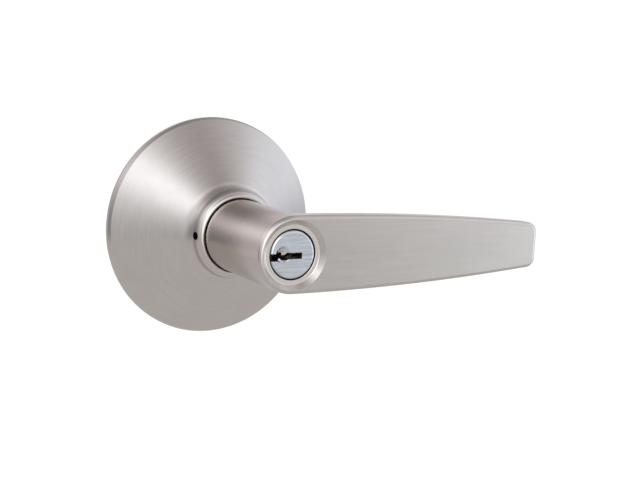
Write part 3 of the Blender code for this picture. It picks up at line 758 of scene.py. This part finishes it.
# ---------------------------------------------------------------- posts, plate and rivets
def post(name, node):
    """Post with a domed head, a chamfered end and a helical thread in its blind hole."""
    low, high = box_mm(node)
    middle, head_top, end = (low.z + high.z) / 2, -low.y, -high.y
    head_r, head_rear, waist_r, waist_rear, shank = 4.9, 2.3, 3.0, -0.3, 4.0
    hole, hole_front, pitch, depth, sides = 1.8, -4.4, 0.8, 0.3, 48
    turn = np.linspace(0, 2 * math.pi, sides, endpoint=False)
    outside = rounded([
        (2.0, head_top), (head_r, head_top - 0.15, 0.5), (head_r, head_rear, 0.15),
        (waist_r, head_rear, 0), (waist_r, waist_rear, 0), (shank, waist_rear, 0.3),
        (shank, end, 0.8), (hole + 0.5, end, 0.1), (hole, end + 0.5)], 5)
    loops = [[(r * math.cos(a), -out, middle + r * math.sin(a)) for a in turn] for r, out in outside]
    for out in np.arange(end + 0.6, hole_front, pitch / 6):
        swell = np.abs(((out / pitch - turn / (2 * math.pi)) % 1.0) * 2 - 1) * depth
        loops.append([((hole + s) * math.cos(a), -out, middle + (hole + s) * math.sin(a))
                      for s, a in zip(swell, turn)])
    piece(name, bridged(loops, closed=False), ZINC_FINISH, "zinc_steel", "door_side", node, sharp=45)


def plate():
    """Stamped plate: rounded edge, a pressed stiffening bead, and the bent tab for the spring."""
    outer, _, tab_top = extent("mounting_plate")
    bore, top, bead, bead_in, bead_out, slope = 13.1, 2.0, 0.5, 34.6, 36.9, 0.5
    shape = lathed(rounded([
        (bore, 0.0, 0.3), (bead_in, 0.0, 0.4), (bead_in + slope, bead, 0.4),
        (bead_out - slope, bead, 0.4), (bead_out, 0.0, 0.4), (outer, 0.0, 0.6), (outer, top, 0.8),
        (bore, top, 0.5)], 5), 224)
    tab = box((-21.7, -20.2), (1.0, tab_top), (-2.5, 2.5))
    post_ring, rivet_ring, through = 20.0, 31.0, (-2, 4)
    cuts = [lathed(rod(3.3, *through), 64, (0.0, side * post_ring)) for side in (-1, 1)]
    cuts += [lathed(rod(1.8, *through), 40, (rivet_ring * math.cos(a), rivet_ring * math.sin(a)))
             for a in RIVET_ANGLES]
    piece("backing_plate", shape, ZINC_FINISH, "zinc_steel", "door_side", "mounting_plate",
          joins=[tab], cuts=cuts, bevel=0.12, sharp=45)


def rivets():
    """Clip rivets with domed heads."""
    shank, head_r, head = 1.5, 2.4, 1.0
    for number in range(1, len(RIVET_ANGLES) + 1):
        low, high = box_mm(f"clip_rivet_{number}")
        spot = ((low.x + high.x) / 2, (low.z + high.z) / 2)
        foot, crown = -high.y, -low.y
        seat = crown - head - 0.1
        dome = [(head_r * math.cos(a), crown - head + head * math.sin(a))
                for a in np.radians(range(6, 90, 12))]
        outline = rounded([(0, foot), (shank, foot, 0.3), (shank, seat, 0), (head_r, seat, 0.1),
                           *dome, (0, crown)], 4)
        piece(f"rivet_{number}", lathed(outline, 40, spot), ZINC_FINISH, "zinc_steel", "door_side",
              f"clip_rivet_{number}")


# ---------------------------------------------------------------- tube, sleeve and small rings
def tube():
    """Spindle tube with its ring groove and the slots for the lever, the driver and the foot."""
    inside, (outside, rear, front) = 9.2, extent("spindle_tube")
    groove_rear, groove_front, groove_r = -5.5, -4.1, outside - 0.8
    shape = lathed(rounded([
        (inside, rear, 0.3), (outside, rear, 0.4), (outside, groove_rear, 0.1),
        (groove_r, groove_rear, 0.1), (groove_r, groove_front, 0.1), (outside, groove_front, 0.1),
        (outside, front, 0.4), (inside, front, 0.3)], 4), 144)
    across, cuts = (-1.8, 1.8), []
    lever_slot, driver_slot, foot_slot = (35.7, front + 2), (12.4, 14.8), (rear - 1.0, -6.0)
    for side in (-1, 1):
        wall = sorted((side * 7.0, side * 13.0))
        cuts += [box(across, lever_slot, wall), box(across, driver_slot, wall),
                 box(wall, foot_slot, across)]
    cuts.append(catch_bore(2.1, -13, -7))
    piece("turned_tube", shape, ZINC_FINISH, "zinc_steel", "lever_side", "spindle_tube", cuts=cuts,
          bevel=0.1)


def small_rings():
    """Sleeve, washers and plug cap: turned pieces with broken edges."""
    flange_r, flange_front, sleeve_r = 15.2, -0.3, 12.8
    _, rear, front = extent("bearing_sleeve")
    shape = lathed(rounded([
        (TUBE_BORE, rear, 0.25), (flange_r, rear, 0.35), (flange_r, flange_front, 0.2),
        (sleeve_r, flange_front, 0.1), (sleeve_r, front, 0.3), (TUBE_BORE, front, 0.3)], 4), 144)
    piece("flanged_sleeve", shape, BRONZE_FINISH, "bronze", "door_side", "bearing_sleeve")
    shape = lathed(washer(TUBE_BORE, *extent("thrust_washer"), (0.2, 0.3, 0.3, 0.2)), 144)
    piece("bronze_washer", shape, BRONZE_FINISH, "bronze", "door_side", "thrust_washer")
    shape = lathed(washer(9.4, *extent("cylinder_washer"), (0.15, 0.2, 0.2, 0.15), 3), 128)
    piece("nylon_washer", shape, WHITE_NYLON, "white_nylon", "lever_side", "cylinder_washer")

    radius, rear, front = extent("plug_cap")
    hole, thread_r, seat = 3.0, 5.8, rear + 1.2
    flute, flute_ring, first = 0.55, radius + 0.25, 0.09
    flutes = [lathed(rod(flute, rear - 1, front + 1), 12,
                     (flute_ring * math.cos(a), flute_ring * math.sin(a)))
              for a in np.linspace(first, 2 * math.pi + first, 24, endpoint=False)]
    shape = lathed(rounded([
        (hole, rear, 0.2), (radius, rear, 0.5), (radius, front, 0.3), (thread_r, front, 0.2),
        (thread_r, seat, 0), (hole, seat, 0.2)], 4), 120)
    piece("fluted_cap", shape, BRASS_FINISH, "brass", "key_side", "plug_cap", cuts=flutes)


# ---------------------------------------------------------------- camera, light and floor
LENS, SENSOR = 69.37, 36.0
CAMERA_PLACE = (-0.2067, -0.4517, 0.0730)
CAMERA_RIGHT = (0.8702, -0.4903, 0.0494)
CAMERA_UP = (0.0330, 0.1581, 0.9869)


def camera():
    """In front of the door, to the left of the lever and a little above it."""
    data = bpy.data.cameras.new("camera")
    data.lens = LENS
    data.sensor_width = SENSOR
    data.clip_start = 0.01
    made = bpy.data.objects.new("camera", data)
    scene.collection.objects.link(made)
    right, up = Vector(CAMERA_RIGHT), Vector(CAMERA_UP)
    turn = Matrix((right, up, right.cross(up))).transposed().to_4x4()
    made.matrix_world = Matrix.Translation(CAMERA_PLACE) @ turn
    scene.camera = made


# Soft panels round the lockset: azimuth (0 in front, positive towards +X), height, narrowness, radiance
PANELS = (
    (-146, 28, 26, (1.46, 1.45, 1.46)),
    (-146, -10, 26, (0.50, 0.45, 0.45)),
    (-55, 47, 26, (0.72, 0.76, 0.75)),
    (-34, 28, 26, (1.03, 1.12, 1.19)),
    (-22, 66, 26, (0.33, 0.30, 0.28)),
    (-10, 9, 26, (1.00, 0.99, 1.01)),
    (34, 24, 26, (0.30, 0.30, 0.30)),
    (38, 38, 26, (0.12, 0.12, 0.12)),
    (56, -10, 26, (1.78, 2.03, 2.11)),
    (56, 28, 26, (0.79, 0.84, 0.87)),
    (68, 66, 26, (0.41, 0.37, 0.35)),
    (98, 12, 26, (0.25, 0.27, 0.30)),
    (169, 28, 26, (0.43, 0.38, 0.38)),
    (-100, 35, 14, (0.70, 0.70, 0.74)),
    (0, 5, 14, (1.46, 1.47, 1.46)),
    (100, 35, 14, (0.72, 0.82, 0.92)),
    (-60, 35, 9, (0.36, 0.38, 0.43)),
    (-60, 5, 9, (0.35, 0.38, 0.37)),
    (90, 5, 9, (0.34, 0.38, 0.45)),
    (150, -10, 9, (0.68, 0.66, 0.63)),
)
ROOM = (0.30, 0.30, 0.32)
TABLE_GLOW = 0.61
WHITE = (1.0, 1.0, 1.0, 1.0)
FLOOR_HALF, FLOOR_LEVEL = 2.0, -0.6


def seen_white(tree, soft, socket):
    """Give a surface or the room plain white to the camera and its own light to everything else."""
    white = tree.nodes.new(soft.bl_idname)
    white.inputs["Color"].default_value = WHITE
    white.inputs["Strength"].default_value = 1.05
    path = tree.nodes.new("ShaderNodeLightPath")
    pick = tree.nodes.new("ShaderNodeMixShader")
    sources = (path.outputs["Is Camera Ray"], soft.outputs[0], white.outputs[0])
    for target, source in zip(pick.inputs, sources):
        tree.links.new(source, target)
    tree.links.new(pick.outputs[0], socket)


def surroundings():
    """Pale room with soft panels, each brightest in its middle and fading smoothly to its edge."""
    world = bpy.data.worlds.new("studio")
    scene.world = world
    world.use_nodes = True
    tree = world.node_tree
    place = tree.nodes.new("ShaderNodeTexCoord").outputs["Generated"]

    def step(kind, operation, *values):
        node = tree.nodes.new(kind)
        node.operation = operation
        sockets = [node.inputs[0], node.inputs["Scale"]] if operation == "SCALE" else node.inputs
        for socket, value in zip(sockets, values):
            feed(tree, socket, value)
        return node.outputs["Value" if operation == "DOT_PRODUCT" else 0]

    total = ROOM
    for azimuth, height, narrowness, radiance in PANELS:
        a, e = math.radians(azimuth), math.radians(height)
        way = (math.sin(a) * math.cos(e), -math.cos(a) * math.cos(e), math.sin(e))
        facing = step("ShaderNodeVectorMath", "DOT_PRODUCT", place, way)
        away = step("ShaderNodeMath", "SUBTRACT", facing, 1.0)
        fade = step("ShaderNodeMath", "EXPONENT",
                    step("ShaderNodeMath", "MULTIPLY", away, float(narrowness)))
        glow = step("ShaderNodeVectorMath", "SCALE", radiance, fade)
        total = step("ShaderNodeVectorMath", "ADD", total, glow)
    sky = tree.nodes["Background"]
    tree.links.new(total, sky.inputs["Color"])
    seen_white(tree, sky, tree.nodes["World Output"].inputs["Surface"])


def floor():
    """Pale, evenly lit table that the lockset stands over."""
    mesh = bpy.data.meshes.new("floor")
    corners = rectangle((-FLOOR_HALF, FLOOR_HALF), (-FLOOR_HALF, FLOOR_HALF))
    mesh.from_pydata([(x, y, FLOOR_LEVEL) for x, y in corners], [], [(0, 1, 2, 3)])
    made = bpy.data.objects.new("floor", mesh)
    scene.collection.objects.link(made)
    material = bpy.data.materials.new("pale_floor")
    material.use_nodes = True
    tree = material.node_tree
    soft = tree.nodes.new("ShaderNodeEmission")
    soft.inputs["Color"].default_value = WHITE
    soft.inputs["Strength"].default_value = TABLE_GLOW
    seen_white(tree, soft, tree.nodes["Material Output"].inputs["Surface"])
    mesh.materials.append(material)


camera()
surroundings()
floor()

finish_nodes()
rose()
lever()
plug()
ward_tip()
bushing()
return_spring()
pins()
post("upper_post", "post_top")
post("lower_post", "post_bottom")
plate()
rivets()
tube()
catch_leaf()
small_rings()
